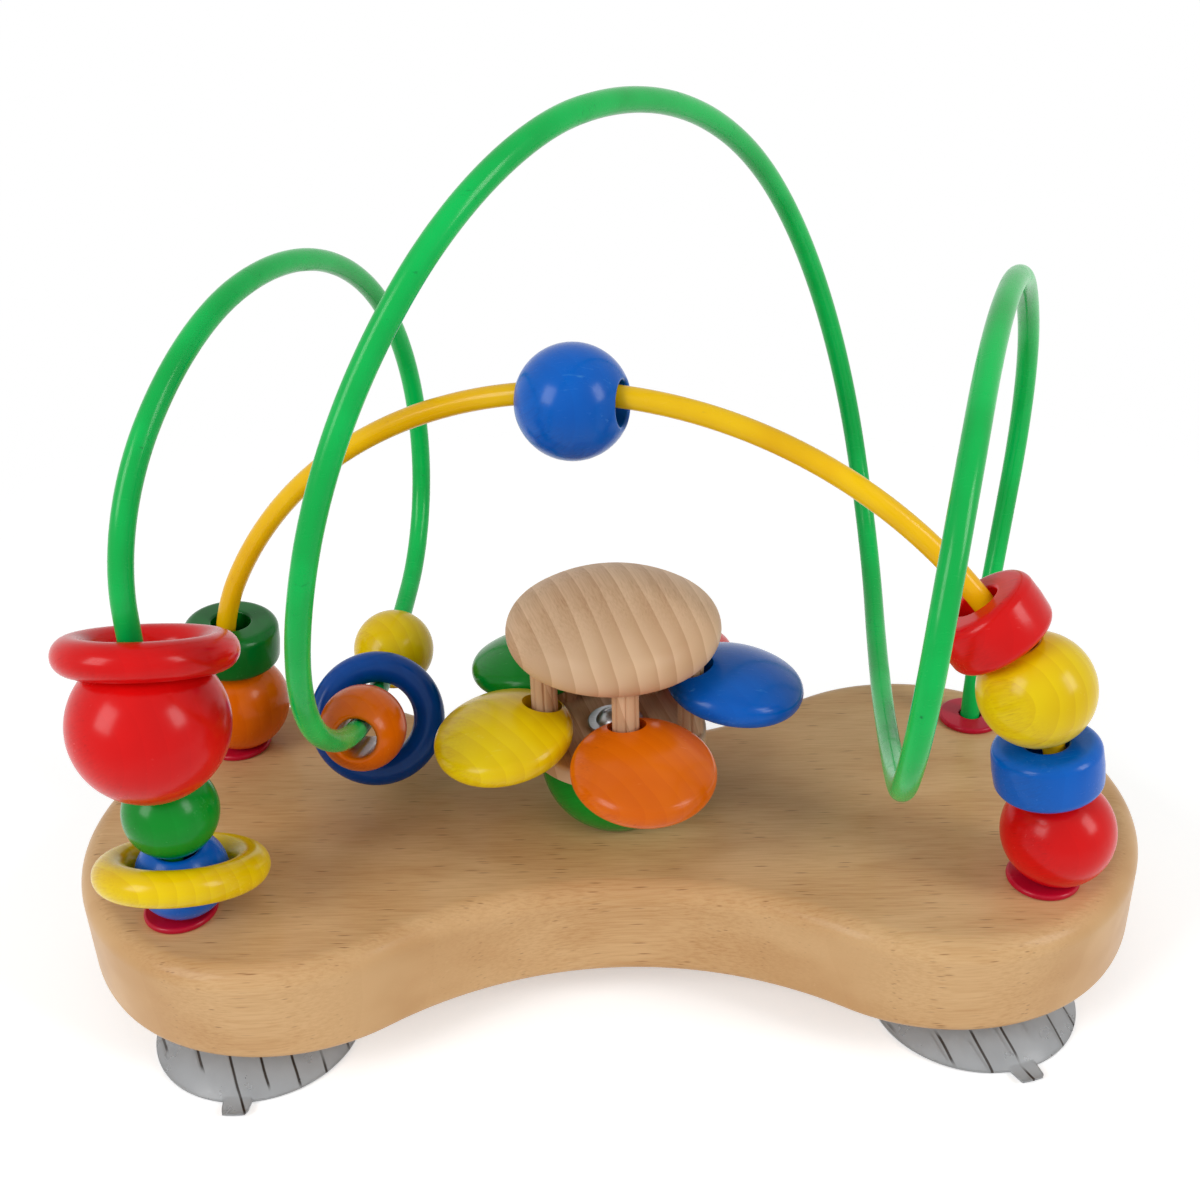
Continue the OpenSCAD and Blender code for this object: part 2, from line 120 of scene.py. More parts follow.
# %% Sky
SKY_LIGHT = 0.40
world = bpy.data.worlds.new("studio_sky")
world.use_nodes = True
scene.world = world
sky = world.node_tree
sky.nodes.clear()
strength = maths(sky, "MULTIPLY_ADD", watched(sky), 1 - SKY_LIGHT, SKY_LIGHT)
glow = node(sky, "Background", {"Color": (1, 1, 1, 1), "Strength": strength})
node(sky, "OutputWorld", {"Surface": glow.outputs[0]})
print("sky light", SKY_LIGHT)

# %% Lamps
AIM_Z = 0.08
LAMPS = {
    "left_window": ((-0.80, -0.60, 0.62), (0.45, 0.60), 5.8),
    "right_window": ((0.85, -0.50, 0.60), (0.35, 0.55), 4.8),
}
for name, (place, sides, watts) in LAMPS.items():
    panel = bpy.data.lights.new(name, "AREA")
    panel.shape = "RECTANGLE"
    panel.size, panel.size_y = sides
    panel.energy = watts
    lamp = bpy.data.objects.new(name, panel)
    back = np.array(place) - (0, 0, AIM_Z)
    azimuth = np.arctan2(back[0], -back[1])
    rise = np.arctan2(back[2], np.hypot(back[0], back[1]))
    lamp.matrix_world = Matrix.Translation(place) @ Matrix(aim(azimuth, rise, 0)).to_4x4()
    scene.collection.objects.link(lamp)
print("lamps", len(LAMPS))

# %% Floor
FLOOR_R, FLOOR_DROP, FADE_FROM, FADE_TO, FLOOR_LIFT = 0.9, 0.0002, 0.16, 0.42, 0.40
floor_mesh = bpy.data.meshes.new("floor")
turn = np.linspace(0, 2 * np.pi, 96, endpoint=False)
rim = np.column_stack([FLOOR_R * np.cos(turn), FLOOR_R * np.sin(turn), 0 * turn - FLOOR_DROP])
floor_mesh.from_pydata(rim.tolist(), [], [list(range(len(turn)))])
floor = bpy.data.objects.new("floor", floor_mesh)
scene.collection.objects.link(floor)
paper = bpy.data.materials.new("floor_paper")
paper.use_nodes = True
sheet = paper.node_tree
sheet.nodes.clear()
spot = node(sheet, "TexCoord").outputs["Object"]
far = node(sheet, "VectorMath", {0: spot}, operation="LENGTH").outputs["Value"]
fade = node(sheet, "MapRange", {"Value": far, "From Min": FADE_FROM, "From Max": FADE_TO},
            interpolation_type="SMOOTHSTEP").outputs[0]
fibre = node(sheet, "TexNoise", {"Vector": spot, "Scale": 900.0, "Detail": 3.0}).outputs["Fac"]
tone = node(sheet, "MapRange", {"Value": fibre, "To Min": 0.93, "To Max": 0.97}).outputs[0]
matt = node(sheet, "BsdfDiffuse", {"Color": tone})
lift = maths(sheet, "MULTIPLY", watched(sheet), FLOOR_LIFT)
lifted = node(sheet, "Emission", {"Color": (1, 1, 1, 1), "Strength": lift})
white = node(sheet, "AddShader", {0: matt.outputs[0], 1: lifted.outputs[0]})
clear = node(sheet, "BsdfTransparent")
blend = node(sheet, "MixShader", {0: fade, 1: white.outputs[0], 2: clear.outputs[0]})
node(sheet, "OutputMaterial", {"Surface": blend.outputs[0]})
floor_mesh.materials.append(paper)
print("floor fades out by", FADE_TO, "m")

# %% [markdown]
# ## Shared effects
# Nearly everything on this toy is turned beech, bare or stained, under clear lacquer. Two
# effects come back in almost every finish, so each is a node group. `wood_figure` gives the
# growth lines, the fine fibres and the short dark flecks that mark beech. Fibres and flecks
# fade where the surface crosses the grain. `lacquer_wear` gives rubbed patches with fine
# scratches, and the slight ripple of a brushed coat. Both read Object coordinates, which
# are metres, and turn them into millimetres first.

# %% Group helper
def effect(name, inputs, outputs):
    """An empty node group with number inputs {name: default}, or vectors where the default
    is a tuple, and number outputs. Returns its tree, its input sockets and its output node."""
    tree = bpy.data.node_groups.new(name, "ShaderNodeTree")
    for label, default in inputs.items():
        kind = "NodeSocketVector" if isinstance(default, tuple) else "NodeSocketFloat"
        tree.interface.new_socket(label, in_out="INPUT", socket_type=kind).default_value = default
    for label in outputs:
        tree.interface.new_socket(label, in_out="OUTPUT", socket_type="NodeSocketFloat")
    return tree, tree.nodes.new("NodeGroupInput").outputs, tree.nodes.new("NodeGroupOutput").inputs


def in_millimetres(tree, lay=None):
    """Object coordinates in millimetres, turned by the socket lay so that grain runs along X."""
    spot = node(tree, "TexCoord").outputs["Object"]
    sockets = {"Vector": spot, "Scale": (1000, 1000, 1000)}
    if lay:
        sockets["Rotation"] = lay
    return node(tree, "Mapping", sockets).outputs[0]


def stretched(tree, spot, along, across):
    """Coordinates scaled by one factor along the grain and another across it."""
    scale = (along, across, across)
    return node(tree, "VectorMath", {0: spot, 1: scale}, operation="MULTIPLY").outputs[0]


def eased(tree, value, low, high):
    """0 below low, 1 above high, and a smooth step between; falls where low is above high."""
    sockets = {"Value": value, "From Min": low, "From Max": high}
    return node(tree, "MapRange", sockets, interpolation_type="SMOOTHSTEP").outputs[0]


# %% Wood figure
BAND_PITCH = 0.314  # spacing of a wave texture's bands at scale 1
figure, given, made = effect("wood_figure", {"Lay": (0, 0, 0), "Ring Spacing": 4.0},
                             ["Growth", "Fibre", "Fleck", "Cloud"])
grain = in_millimetres(figure, given["Lay"])
pitch = maths(figure, "DIVIDE", BAND_PITCH, given["Ring Spacing"])
bands = node(figure, "TexWave", {"Vector": stretched(figure, grain, 0.07, 1.0), "Scale": pitch,
                                 "Distortion": 3.0, "Detail": 2.0, "Detail Scale": 0.6},
             bands_direction="Y", wave_profile="SAW")
figure.links.new(bands.outputs["Fac"], made["Growth"])
threads = node(figure, "TexNoise", {"Vector": stretched(figure, grain, 0.06, 2.4), "Scale": 1.0,
                                    "Detail": 4.0, "Roughness": 0.65})
normal = node(figure, "TexCoord").outputs["Normal"]
facing = node(figure, "Mapping", {"Vector": normal, "Rotation": given["Lay"]}, vector_type="NORMAL")
steep = maths(figure, "ABSOLUTE", node(figure, "SeparateXYZ", {0: facing.outputs[0]}).outputs["X"])
sawn_along = eased(figure, steep, 0.60, 0.15)
swing = maths(figure, "SUBTRACT", threads.outputs["Fac"], 0.5)
figure.links.new(maths(figure, "MULTIPLY_ADD", swing, sawn_along, 0.5), made["Fibre"])
cells = node(figure, "TexVoronoi", {"Vector": stretched(figure, grain, 0.11, 1.3), "Scale": 1.0})
dashes = eased(figure, cells.outputs["Distance"], 0.28, 0.05)
chance = node(figure, "SeparateColor", {0: cells.outputs["Color"]}).outputs[0]
thinned = maths(figure, "MULTIPLY", dashes, eased(figure, chance, 0.45, 0.85))
figure.links.new(maths(figure, "MULTIPLY", thinned, sawn_along), made["Fleck"])
clouds = node(figure, "TexNoise", {"Vector": stretched(figure, grain, 0.4, 1.0), "Scale": 0.06,
                                   "Detail": 2.0})
figure.links.new(clouds.outputs["Fac"], made["Cloud"])
print("group", figure.name, "with", len(figure.nodes), "nodes")

# %% Lacquer wear
wear, given, made = effect("lacquer_wear", {"Amount": 0.5}, ["Scuff", "Dull", "Ripple"])
spot = in_millimetres(wear)
patches = node(wear, "TexNoise", {"Vector": spot, "Scale": 0.11, "Detail": 5.0, "Roughness": 0.7})
patch = eased(wear, patches.outputs["Fac"], 0.54, 0.72)
slanted = node(wear, "Mapping", {"Vector": spot, "Rotation": (0.5, 0.9, 0.6), "Scale": (0.2, 2.6, 1.4)})
lines = node(wear, "TexNoise", {"Vector": slanted.outputs[0], "Scale": 0.8, "Detail": 3.0})
scratch = eased(wear, lines.outputs["Fac"], 0.58, 0.70)
rubbed = maths(wear, "MULTIPLY", maths(wear, "MULTIPLY", patch, scratch), given["Amount"])
wear.links.new(rubbed, made["Scuff"])
dull = maths(wear, "MULTIPLY_ADD", patch, 0.6, maths(wear, "MULTIPLY", scratch, 0.4))
wear.links.new(maths(wear, "MULTIPLY", dull, given["Amount"]), made["Dull"])
waves = node(wear, "TexNoise", {"Vector": spot, "Scale": 0.32, "Detail": 2.0})
wear.links.new(waves.outputs["Fac"], made["Ripple"])
print("group", wear.name, "with", len(wear.nodes), "nodes")

# %% [markdown]
# ## Finishes
# A finish mixes its colours from the effects and leaves everything that is the same all
# over, such as the coat, on the shader's own sockets. Colours are written as the usual
# screen values from 0 to 255 and turned into linear light by the sRGB formula.

# %% Finish helpers
FINISH = {}


def colour(red, green, blue):
    """Linear colour of a screen colour: a 2.4 power above the small straight foot."""
    c = np.array([red, green, blue]) / 255
    linear = np.where(c <= 0.04045, c / 12.92, ((c + 0.055) / 1.055) ** 2.4)
    return (*linear.tolist(), 1.0)


def mixed(tree, share, first, second, way="MIX"):
    """Two colours mixed by a share from 0 to 1."""
    made = node(tree, "Mix", {0: share, 6: first, 7: second}, data_type="RGBA", blend_type=way)
    return made.outputs[2]


def start_finish(slot):
    """A new material with a Principled shader and an output; returns its tree and shader."""
    material = bpy.data.materials.new(slot)
    material.use_nodes = True
    FINISH[slot] = material
    return material.node_tree, material.node_tree.nodes["Principled BSDF"]


def placed(tree, group, **values):
    """A group in a material, with its own values; underscores stand for spaces."""
    made = node(tree, "Group", node_tree=group)
    for label, value in values.items():
        made.inputs[label.replace("_", " ")].default_value = value
    return made.outputs


def raised(tree, shader, height, strength):
    """A bump of the given height socket, at most a twentieth of a millimetre deep."""
    sockets = {"Height": height, "Strength": strength, "Distance": 0.05 * MM}
    tree.links.new(node(tree, "Bump", sockets).outputs[0], shader.inputs["Normal"])


# %% [markdown]
# ### Beech, bare and stained
# The stain on the beads is thin: fibres and flecks show through it, most on yellow and
# orange. So one function makes both the bare and the stained wood, and the strength of each
# mark says which it is. Two wood tones, a fleck colour and a rubbed colour are enough.

# %% Timber finishes
def timber(slot, light, dark, fleck, rubbed, marks, lay=(0, 0, 0), spacing=4.0, wear_amount=0.5,
           gloss=0.22, coat=0.06, shine=0.16):
    """marks gives the strengths of growth lines, fibres, flecks and cloudy tone."""
    tree, shader = start_finish(slot)
    wood = placed(tree, figure, Lay=lay, Ring_Spacing=spacing)
    worn = placed(tree, wear, Amount=wear_amount)
    growth, fibre, speck, cloud = marks
    share = maths(tree, "MULTIPLY", wood["Growth"], growth)
    share = maths(tree, "MULTIPLY_ADD", eased(tree, wood["Fibre"], 0.35, 0.75), fibre, share)
    share = maths(tree, "MULTIPLY_ADD", eased(tree, wood["Cloud"], 0.35, 0.65), cloud, share)
    tone = mixed(tree, share, light, dark)
    tone = mixed(tree, maths(tree, "MULTIPLY", wood["Fleck"], speck), tone, fleck)
    tone = mixed(tree, worn["Scuff"], tone, rubbed)
    tree.links.new(tone, shader.inputs["Base Color"])
    rough = maths(tree, "MULTIPLY_ADD", worn["Dull"], 0.25, gloss)
    tree.links.new(rough, shader.inputs["Roughness"])
    height = maths(tree, "MULTIPLY_ADD", wood["Fibre"], 0.5, worn["Ripple"])
    raised(tree, shader, height, 0.35)
    shader.inputs["Specular IOR Level"].default_value = shine
    shader.inputs["Coat Weight"].default_value = coat
    shader.inputs["Coat Roughness"].default_value = 0.15


SLANT = (0.5, 0.35, 0.9)
timber("beech", colour(219, 179, 130), colour(193, 146, 96), colour(122, 76, 40), colour(226, 192, 148),
       (0.06, 0.55, 0.65, 0.45), lay=(0.12, 0.03, 0.04), spacing=9.0, wear_amount=0.25,
       gloss=0.32, coat=0.10, shine=0.08)
timber("pale_beech", colour(232, 196, 160), colour(190, 146, 108), colour(150, 104, 68),
       colour(240, 214, 184), (0.5, 0.35, 0.3, 0.25), lay=(0, 0.2, 1.32), spacing=4.2,
       wear_amount=0.2, gloss=0.45, coat=0.0)
timber("yellow_paint", colour(246, 216, 10), colour(222, 178, 0), colour(180, 128, 0), colour(246, 226, 90),
       (0.32, 0.6, 0.45, 0.3), lay=SLANT, spacing=3.2)
timber("orange_paint", colour(234, 114, 2), colour(212, 88, 0), colour(160, 60, 0), colour(240, 146, 50),
       (0.2, 0.5, 0.4, 0.3), lay=SLANT, spacing=3.4)
timber("red_paint", colour(230, 14, 14), colour(204, 8, 10), colour(140, 2, 6), colour(234, 84, 76),
       (0.12, 0.5, 0.35, 0.3), lay=SLANT, spacing=3.8)
timber("blue_paint", colour(0, 102, 204), colour(0, 80, 176), colour(0, 44, 112), colour(80, 150, 216),
       (0.12, 0.5, 0.4, 0.3), lay=SLANT, spacing=3.8, wear_amount=0.7)
timber("navy_paint", colour(2, 76, 164), colour(0, 52, 124), colour(0, 32, 80), colour(60, 120, 190),
       (0.12, 0.5, 0.4, 0.3), lay=SLANT, spacing=3.8)
timber("green_paint", colour(0, 150, 42), colour(0, 122, 26), colour(0, 80, 14), colour(84, 184, 100),
       (0.12, 0.5, 0.4, 0.3), lay=SLANT, spacing=3.8)
timber("dark_green_paint", colour(0, 112, 36), colour(0, 84, 22), colour(0, 52, 10), colour(70, 150, 84),
       (0.12, 0.5, 0.4, 0.3), lay=SLANT, spacing=3.8)
print("timber finishes", len(FINISH))

# %% [markdown]
# ### Wire, washers, screw and cups
# The wires are steel rod in a thick glossy skin of plastic, a little wavy and here and there
# rubbed dark by the beads. The washers are moulded plastic with fine flow marks. The cups
# are clear soft plastic, so they take their grey from what lies behind them, and dark streaks
# are painted on them as the shade of creases where they were bent.

# %% Skin of the wires and moulded plastic
def skin(slot, light, dark, rubbed, wear_amount, gloss):
    """Plastic: cloudy tone between two colours, rubbed marks, and a wavy glossy surface."""
    tree, shader = start_finish(slot)
    worn = placed(tree, wear, Amount=wear_amount)
    spot = in_millimetres(tree)
    drift = node(tree, "TexNoise", {"Vector": spot, "Scale": 0.05, "Detail": 3.0}).outputs["Fac"]
    tone = mixed(tree, eased(tree, drift, 0.3, 0.7), light, dark)
    tone = mixed(tree, worn["Scuff"], tone, rubbed)
    tree.links.new(tone, shader.inputs["Base Color"])
    rough = maths(tree, "MULTIPLY_ADD", worn["Dull"], 0.3, gloss)
    tree.links.new(rough, shader.inputs["Roughness"])
    raised(tree, shader, worn["Ripple"], 0.5)
    shader.inputs["Specular IOR Level"].default_value = 0.18
    shader.inputs["Coat Weight"].default_value = 0.06
    shader.inputs["Coat Roughness"].default_value = 0.1


skin("green_enamel", colour(0, 198, 88), colour(0, 178, 74), colour(10, 96, 56), 0.95, 0.22)
skin("yellow_enamel", colour(255, 204, 16), colour(246, 188, 4), colour(196, 132, 4), 0.5, 0.22)
skin("crimson_plastic", colour(200, 18, 52), colour(172, 10, 42), colour(222, 90, 110), 0.5, 0.28)

# %% Steel
tree, shader = start_finish("steel")
spot = in_millimetres(tree)
brushed = node(tree, "TexNoise", {"Vector": stretched(tree, spot, 0.4, 6.0), "Scale": 1.0,
                                  "Detail": 3.0}).outputs["Fac"]
tone = mixed(tree, brushed, colour(150, 152, 156), colour(206, 207, 210))
tree.links.new(tone, shader.inputs["Base Color"])
tree.links.new(maths(tree, "MULTIPLY_ADD", brushed, 0.25, 0.2), shader.inputs["Roughness"])
raised(tree, shader, brushed, 0.2)
shader.inputs["Metallic"].default_value = 1.0

# %% Clear soft plastic
tree, shader = start_finish("clear_rubber")
spot = in_millimetres(tree)
slanted = node(tree, "Mapping", {"Vector": spot, "Rotation": (0, 0, -0.4)}).outputs[0]
crease_shade_bands = node(tree, "TexWave", {"Vector": slanted, "Scale": 0.05, "Distortion": 0.8, "Detail": 2.0},
               bands_direction="X").outputs["Fac"]
patches = node(tree, "TexNoise", {"Vector": slanted, "Scale": 0.07, "Detail": 1.0}).outputs["Fac"]
# The dark streaks mixed in here are painted shade of the creases in the bent plastic.
painted_crease_shade = maths(tree, "MULTIPLY", eased(tree, crease_shade_bands, 0.970, 0.992), eased(tree, patches, 0.46, 0.54))
haze = node(tree, "TexNoise", {"Vector": spot, "Scale": 0.15, "Detail": 4.0}).outputs["Fac"]
tone = mixed(tree, haze, colour(176, 178, 180), colour(206, 209, 212))
tree.links.new(mixed(tree, painted_crease_shade, tone, colour(58, 50, 46)), shader.inputs["Base Color"])
tree.links.new(maths(tree, "MULTIPLY_ADD", haze, 0.2, 0.2), shader.inputs["Roughness"])
raised(tree, shader, haze, 0.3)
shader.inputs["Transmission Weight"].default_value = 0.55
shader.inputs["IOR"].default_value = 1.42
print("finishes", sorted(FINISH))

# %% [markdown]
# ## From formula to mesh
# Each shape is a grid of points. `surface` joins the grid into quads, merges the points that
# meet at a pole, turns all faces outwards and keeps edges sharper than 40 degrees crisp.
# `piece` then gives the mesh its finish, hangs it on its body and hides the CAD node it stands for.

# %% Surface and piece
SHARP = np.radians(40)


def unit(v):
    """A vector, or each row of an array of vectors, at length one."""
    v = np.asarray(v, float)
    return v / np.linalg.norm(v, axis=-1, keepdims=True)


def surface(name, grid, around=True, closed=False):
    """Quads over a grid of points; `around` joins the last column to the first, and `closed`
    the last row to the first."""
    rows, columns = grid.shape[:2]
    index = np.arange(rows * columns).reshape(rows, columns)
    index = np.vstack([index, index[:1]]) if closed else index
    index = np.hstack([index, index[:, :1]]) if around else index
    corners = [index[:-1, :-1], index[1:, :-1], index[1:, 1:], index[:-1, 1:]]
    mesh = bpy.data.meshes.new(name)
    mesh.from_pydata((grid.reshape(-1, 3) * MM).tolist(), [],
                     np.stack(corners, axis=-1).reshape(-1, 4).tolist())
    work = bmesh.new()
    work.from_mesh(mesh)
    bmesh.ops.remove_doubles(work, verts=work.verts, dist=0.0005 * MM)
    bmesh.ops.recalc_face_normals(work, faces=work.faces)
    work.to_mesh(mesh)
    work.free()
    mesh.polygons.foreach_set("use_smooth", np.ones(len(mesh.polygons), bool))
    mesh.set_sharp_from_angle(angle=SHARP)
    return bpy.data.objects.new(name, mesh)


def piece(cad_node, grid, slot, body, around=True, closed=False):
    """A finished surface in the place of a CAD node, riding on that node's body."""
    made = surface(cad_node + "_surface", grid, around, closed)
    made.data.materials.append(FINISH[slot])
    scene.collection.objects.link(made)
    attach(made, body)
    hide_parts(cad_node)
    print(made.name, len(made.data.polygons), "faces")
    return made


def arc(centre, radius, start, end, count):
    """Points (r, z) on a circle, from one angle in degrees to another."""
    a = np.radians(np.linspace(start, end, count))
    return np.column_stack([centre[0] + radius * np.cos(a), centre[1] + radius * np.sin(a)])


def turned(profile, count=96):
    """A profile (r, z) carried once round the Z axis: x = r cos a, y = r sin a."""
    a = np.linspace(0, 2 * np.pi, count, endpoint=False)
    r, z = profile[:, :1], profile[:, 1:]
    return np.stack([r * np.cos(a), r * np.sin(a), z + 0 * a], axis=-1)


def put(grid, place, axis):
    """Turns a shape's Z axis to `axis`, with X as near to the board's length as it can be,
    and moves it to a place."""
    z = unit(axis)
    x = unit(np.array([1.0, 0, 0]) - z * z[0])
    return grid @ np.stack([x, np.cross(z, x), z]) + place


# %% [markdown]
# ## The board
# The board is one thick plank, sawn to a waisted outline and rounded along its edges, more
# on top than below. Its outline is made of arcs that run into each other. A bevel modifier
# could round it, but the formula knows each arc's direction outwards, so the rounding is
# exact: a cross-section at every point of the outline, mirrored to the other side.

# %% Board
BOARD_L, BOARD_T, END_R, CORNER_R, CORNER_TURN, WAIST_W = 250, 24, 58.5, 46, 42, 62
UPPER_ROUND, LOWER_ROUND, CUP_H = 5, 2.5, 11
DECK = CUP_H + BOARD_T


def board_edge(count=64):
    """Points and outward directions from the right tip over the back edge to the left tip:
    an end arc, a corner arc, the hollow waist arc, then the same mirrored. The waist arc's
    radius follows from touching both corner arcs and passing half the waist from the axis."""
    end_c = BOARD_L / 2 - END_R
    turn = np.radians(CORNER_TURN)
    corner = np.array([end_c + (END_R - CORNER_R) * np.cos(turn), (END_R - CORNER_R) * np.sin(turn)])
    sag = corner[1] - WAIST_W / 2
    waist_r = (corner @ corner - corner[1] ** 2 + sag ** 2 - CORNER_R ** 2) / (2 * (CORNER_R + sag))
    waist = np.array([0, WAIST_W / 2 + waist_r])
    meet = np.degrees(np.arctan2(waist[1] - corner[1], -corner[0]))
    end = arc((end_c, 0), END_R, 0, CORNER_TURN, count)
    bow = arc(corner, CORNER_R, CORNER_TURN, meet, count)[1:]
    dip = arc(waist, waist_r, meet + 180, 270, count)[1:]
    half = np.vstack([end, bow, dip])
    out = np.vstack([unit(end - (end_c, 0)), unit(bow - corner), unit(waist - dip)])
    flip = np.array([-1, 1])
    return np.vstack([half, half[-2::-1] * flip]), np.vstack([out, out[-2::-1] * flip])


edge, outward = board_edge()
low = arc((LOWER_ROUND, CUP_H + LOWER_ROUND), LOWER_ROUND, 270, 180, 9)
high = arc((UPPER_ROUND, DECK - UPPER_ROUND), UPPER_ROUND, 180, 90, 17)
side = np.vstack([low, high])
back = edge[:, None] - side[:, 0][:, None] * outward[:, None]
shares = np.concatenate([[0.004], np.linspace(0.03, 0.97, 24), [0.996]])[:, None]
mirror = np.array([1, -1])


def crossing(first):
    """Points from the back edge straight over to its mirror image on the front edge."""
    return first[:, None] * (1 - shares) + first[:, None] * mirror * shares


over, under = crossing(back[:, -1]), crossing(back[:, 0] * mirror)
flat = np.concatenate([back, over, back[:, ::-1] * mirror, under], 1)
level = np.ones(len(shares))
height = np.concatenate([side[:, 1], DECK * level, side[::-1, 1], CUP_H * level])
board = np.concatenate([flat, np.broadcast_to(height[None, :, None], (*flat.shape[:2], 1))], -1)
piece("base_board", board, "beech", "base")

# %% [markdown]
# ## The wires
# Each wire is bent on a former, so it is a chain of arcs and straights that run into each
# other. A curve object with handles would only come near it. Here each pair of points, with
# the wire's heading there, is joined by two arcs that touch, as in the CAD model. A circle
# is carried along the chain without twisting. Heights count from the top of the board.

# %% Chains of arcs
WIRE_D, STUB, KICK, HOLE_X, HOLE_Y = 4.8, 16, 3, 95, 32.5


def heading(azimuth, rise):
    """A direction from its azimuth and its rise above the level, in degrees."""
    a, e = np.radians([azimuth, rise])
    return np.array([np.cos(a) * np.cos(e), np.sin(a) * np.cos(e), np.sin(e)])


def two_arcs(p, a, q, b):
    """Two arcs that touch halfway, from p with heading a to q with heading b. They meet in
    the middle of the far ends of two equal handles, whose length solves a quadratic."""
    v, both, k = q - p, a + b, 2 * (1 - a @ b)
    if k < 1e-9:
        handle = v @ v / (4 * (v @ b))
    else:
        handle = (np.sqrt((v @ both) ** 2 + k * (v @ v)) - v @ both) / k
    start, end = p + handle * a, q - handle * b
    middle = (start + end) / 2
    return [(p, a, middle), (middle, unit(end - start), q)]


def along_arc(p, a, q, step=1.5):
    """Points, headings and length of the arc from p with heading a to q; the part of the
    chord that is square to the heading gives the direction to the centre and the radius."""
    v = q - p
    inward = v - a * (v @ a)
    offset = np.linalg.norm(inward)
    if offset < 1e-4 * np.linalg.norm(v):
        length = np.linalg.norm(v)
        t = np.linspace(0, 1, int(np.ceil(length / step)) + 1)[:, None]
        return p + t * v, np.repeat(a[None], len(t), 0), length
    radius, angle = v @ v / (2 * offset), 2 * np.arctan2(offset, v @ a)
    t = np.linspace(0, angle, int(np.ceil(radius * angle / step)) + 1)[:, None]
    n = inward / offset
    points = p + radius * (n * (1 - np.cos(t)) + a * np.sin(t))
    return points, a * np.cos(t) + n * np.sin(t), radius * angle


def chain(way):
    """Points, headings and distances of the whole chain through points and headings."""
    points, headings, distances, done = [], [], [], 0.0
    for (p, a), (q, b) in zip(way[:-1], way[1:]):
        for part in two_arcs(np.array(p, float), unit(a), np.array(q, float), unit(b)):
            line, aim_at, length = along_arc(*part)
            points.append(line[:-1])
            headings.append(aim_at[:-1])
            distances.append(np.linspace(done, done + length, len(line))[:-1])
            done += length
    points.append(np.array(way[-1][:1], float))
    headings.append(unit(way[-1][1:]))
    distances.append([done])
    return np.vstack(points), np.vstack(headings), np.concatenate(distances)


def carried(line, headings, radius, sides=24):
    """A circle carried along a line: its first side vector loses, from station to station,
    only what is not square to the heading, so that it never twists. Both ends are closed."""
    side, sides_at = np.array([1.0, 0, 0]), []
    for h in headings:
        side = unit(side - h * (side @ h))
        sides_at.append(side)
    u = np.array(sides_at)[:, None]
    w = np.cross(headings, np.array(sides_at))[:, None]
    a = np.linspace(0, 2 * np.pi, sides, endpoint=False)[None, :, None]
    tube = line[:, None] + radius * (u * np.cos(a) + w * np.sin(a))
    ends = np.repeat(line[[0, -1]][:, None], sides, 1)
    return np.concatenate([ends[:1], tube, ends[1:]])


# %% Green coil
leg_foot, leg_top = np.array([-HOLE_X, -HOLE_Y, KICK]), np.array([-91, -40, 78])
leg = unit(leg_top - leg_foot)
UP, DOWN = np.array([0, 0, 1.0]), np.array([0, 0, -1.0])
green = chain([
    ((-HOLE_X, -HOLE_Y, -STUB), UP), (leg_foot, UP), (leg_foot + 4 * leg, leg), (leg_top, leg),
    ((-70, 2, 129), heading(70, 6)), ((-47, 78, 60), heading(-118, -86)),
    ((-55, 16, 25), heading(-94, 2)), ((-53, -55, 94), heading(10, 76)),
    ((-2, -14, 163), heading(56, 2)), ((68, 68, 62), heading(-54, -74)),
    ((63, -8, 28), heading(-98, 8)), ((54, -77, 87), heading(58, 74)),
    ((81, -8, 127), heading(68, -2)), ((103, 47, 61), heading(-130, -80)),
    ((HOLE_X, HOLE_Y, KICK), DOWN), ((HOLE_X, HOLE_Y, -STUB), DOWN)])
piece("green_wire", carried(green[0], green[1], WIRE_D / 2) + DECK * UP, "green_enamel", "base")
print("green coil", round(green[2][-1]), "mm long")

# %% Yellow arch
ARCH_TOP, ARCH_R, BEND_R = 104.6, 106, 60
half_span = np.hypot(HOLE_X, HOLE_Y)
across = np.array([HOLE_X, -HOLE_Y, 0]) / half_span
rise = np.sqrt((ARCH_R - half_span) * (ARCH_R + half_span - 2 * BEND_R))
bend = np.arctan2(rise, half_span - BEND_R)
leg_z = ARCH_TOP - ARCH_R + rise
meet_s, meet_z = half_span - BEND_R * (1 - np.cos(bend)), leg_z + BEND_R * np.sin(bend)
yellow = chain([
    ((-HOLE_X, HOLE_Y, -STUB), UP), ((-HOLE_X, HOLE_Y, leg_z), UP),
    (meet_z * UP - meet_s * across, np.sin(bend) * across + np.cos(bend) * UP),
    (ARCH_TOP * UP, across),
    (meet_z * UP + meet_s * across, np.sin(bend) * across - np.cos(bend) * UP),
    ((HOLE_X, -HOLE_Y, leg_z), DOWN), ((HOLE_X, -HOLE_Y, -STUB), DOWN)])
piece("yellow_wire", carried(yellow[0], yellow[1], WIRE_D / 2) + DECK * UP, "yellow_enamel", "base")
print("yellow arch", round(yellow[2][-1]), "mm long")

# %% [markdown]
# ## Beads
# Balls, barrels and rings were turned on a lathe, so each is a profile carried round an
# axis. A plain sphere with a hole would have knife edges at its bore, so a small rounding
# runs from the bore into the ball. Where a bead sits follows from the wire: a distance
# along it, and how far the loose bead hangs or leans to one side.

# %% Bead shapes
SMALL_D, MEDIUM_D, LARGE_D, BORE_D = 20, 24.6, 32, 9.4
BARREL_D, BARREL_H, BARREL_ROUND, MOUTH = 23, 11.6, 2.5, 0.7
RING_TUBE, HOOP_D, HOOP_TUBE = 7.8, 32, 7.4


